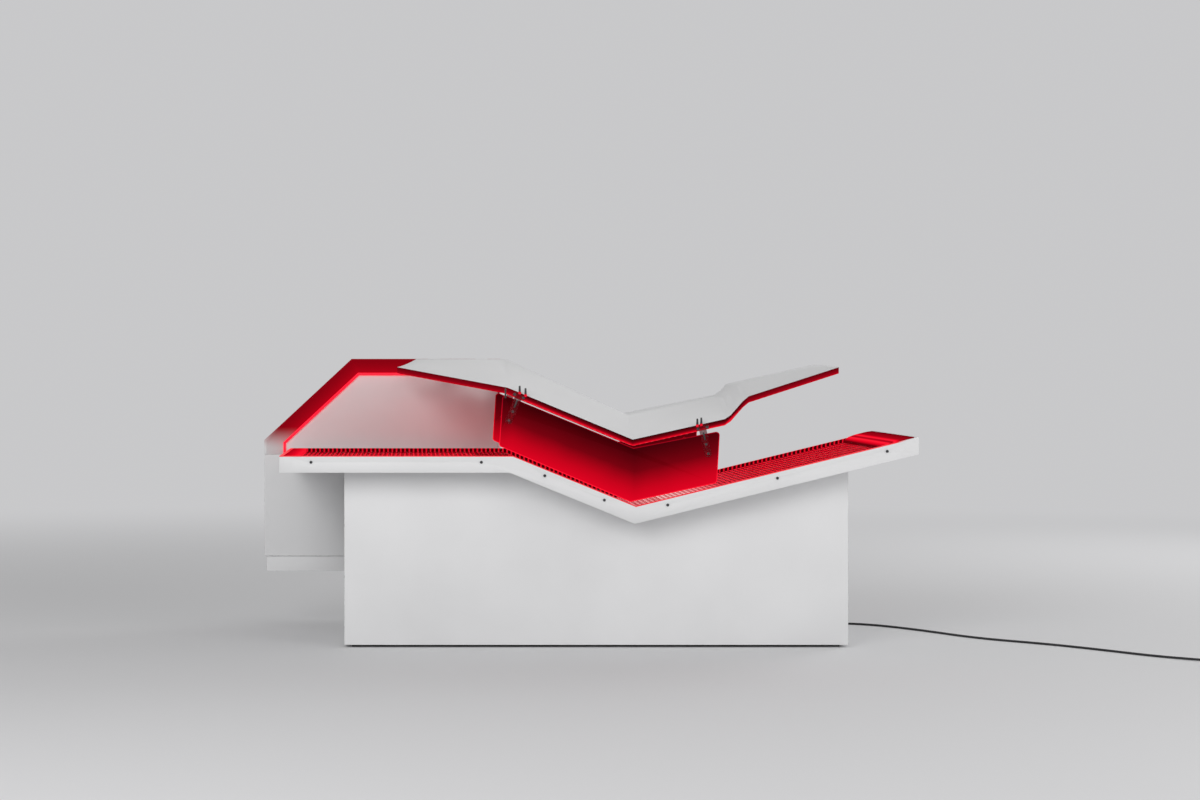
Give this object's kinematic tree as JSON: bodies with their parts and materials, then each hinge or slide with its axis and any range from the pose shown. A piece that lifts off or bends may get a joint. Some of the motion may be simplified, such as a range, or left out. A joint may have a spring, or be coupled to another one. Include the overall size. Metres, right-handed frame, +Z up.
{
  "type": "red light therapy bed",
  "caption": "Full-body red light therapy bed with a lounge-shaped LED deck on a cabinet base and a rear lift tower that carries an LED canopy with acrylic side shields.",
  "frame": {"origin": "on the floor under the middle of the base cabinet", "axes": "+X towards the head end, +Y towards the rear tower, +Z up"},
  "size_m": [3.3379, 1.3977, 1.01],
  "materials": {
    "white_bodywork": "satin powder coat",
    "white_board": "satin paint on board",
    "white_moulding": "satin moulded",
    "black_plinth": "matt",
    "clear_cover": "clear acrylic",
    "frosted_acrylic": "frosted acrylic",
    "red_lit_plastic": "lit translucent plastic",
    "led_board": "circuit board with red emitters",
    "heat_sink": "extruded, bare",
    "frame_steel": "matt powder coat",
    "lift_aluminium": "anodised",
    "glide_plastic": "low-friction plastic",
    "clear_acrylic": "polished clear acrylic",
    "fastener_steel": "plain",
    "black_plastic": "moulded",
    "supply_case": "folded sheet",
    "cord_rubber": "matt"
  },
  "bodies": {
    "bed": {"base_floor": "black_plinth", "base_frame": "frame_steel", "base_front_panel": "white_board", "base_left_panel": "white_board", "base_plinth": "black_plinth", "base_rear_panel": "white_board", "base_right_panel": "white_board", "cable_gland": "black_plastic", "control_box": "black_plastic", "cord_tie": "black_plastic", "deck_cover": "clear_cover", "deck_grid_back": "red_lit_plastic", "deck_grid_foot": "red_lit_plastic", "deck_grid_thigh": "red_lit_plastic", "deck_heat_sinks": "heat_sink", "deck_led_board_back": "led_board", "deck_led_board_foot": "led_board", "deck_led_board_thigh": "led_board", "deck_tray": "white_bodywork", "fan_guards": "fastener_steel", "fan_housings": "black_plastic", "foot_lip": "red_lit_plastic", "head_lip": "red_lit_plastic", "led_power_supplies": "supply_case", "lift_mast": "frame_steel", "lift_outer_glides": "glide_plastic", "lift_outer_tubes": "lift_aluminium", "mains_switch_body": "black_plastic", "panel_screws": "fastener_steel", "power_cord": "cord_rubber", "power_cord_coil": "cord_rubber", "power_plug": "black_plastic", "rail_screws": "fastener_steel"},
    "canopy": {"canopy_led_panel_chest": "led_board", "canopy_led_panel_foot": "led_board", "canopy_led_panel_head": "led_board", "canopy_led_panel_thigh": "led_board", "canopy_liner": "red_lit_plastic", "canopy_shell": "white_moulding", "canopy_spines": "frame_steel", "front_shield": "frosted_acrylic", "lift_carriage": "frame_steel", "lift_inner_tubes": "lift_aluminium", "rear_shield": "frosted_acrylic", "shield_bolts": "fastener_steel", "shield_brackets": "clear_acrylic", "tower_bezel": "red_lit_plastic", "tower_front_panel": "white_moulding", "tower_light_line": "red_lit_plastic", "tower_rear_cover": "white_moulding", "tower_shell": "white_moulding", "tower_skirt": "white_moulding"},
    "lift_stage_left": {"lift_middle_left": "lift_aluminium", "lift_middle_glides_left": "glide_plastic"},
    "lift_stage_right": {"lift_middle_right": "lift_aluminium", "lift_middle_glides_right": "glide_plastic"},
    "fan_left": {"fan_rotor_left": "black_plastic"},
    "fan_right": {"fan_rotor_right": "black_plastic"},
    "switch_rocker": {"mains_rocker": "black_plastic"}
  },
  "joints": [
    {"name": "canopy_lift", "type": "slide", "parent": "bed", "child": "canopy", "axis": [0, 0, 1], "range_m": [0, 0.4]},
    {"name": "lift_stage_left_slide", "type": "slide", "parent": "bed", "child": "lift_stage_left", "axis": [0, 0, 1], "range_m": [0, 0.2]},
    {"name": "lift_stage_right_slide", "type": "slide", "parent": "bed", "child": "lift_stage_right", "axis": [0, 0, 1], "range_m": [0, 0.2]},
    {"name": "fan_left_spin", "type": "hinge", "parent": "bed", "child": "fan_left", "pos_m": [0.26, 0.23, 0.25], "axis": [0, 1, 0], "continuous": true},
    {"name": "fan_right_spin", "type": "hinge", "parent": "bed", "child": "fan_right", "pos_m": [0.54, 0.23, 0.25], "axis": [0, 1, 0], "continuous": true},
    {"name": "rocker_tilt", "type": "hinge", "parent": "bed", "child": "switch_rocker", "pos_m": [0.69, 0.2705, 0.09], "axis": [1, 0, 0], "range_deg": [0, 16]}
  ],
  "couplings": [
    {"joint": "lift_stage_left_slide", "follows": "canopy_lift", "ratio": 0.5},
    {"joint": "lift_stage_right_slide", "follows": "canopy_lift", "ratio": 0.5}
  ]
}
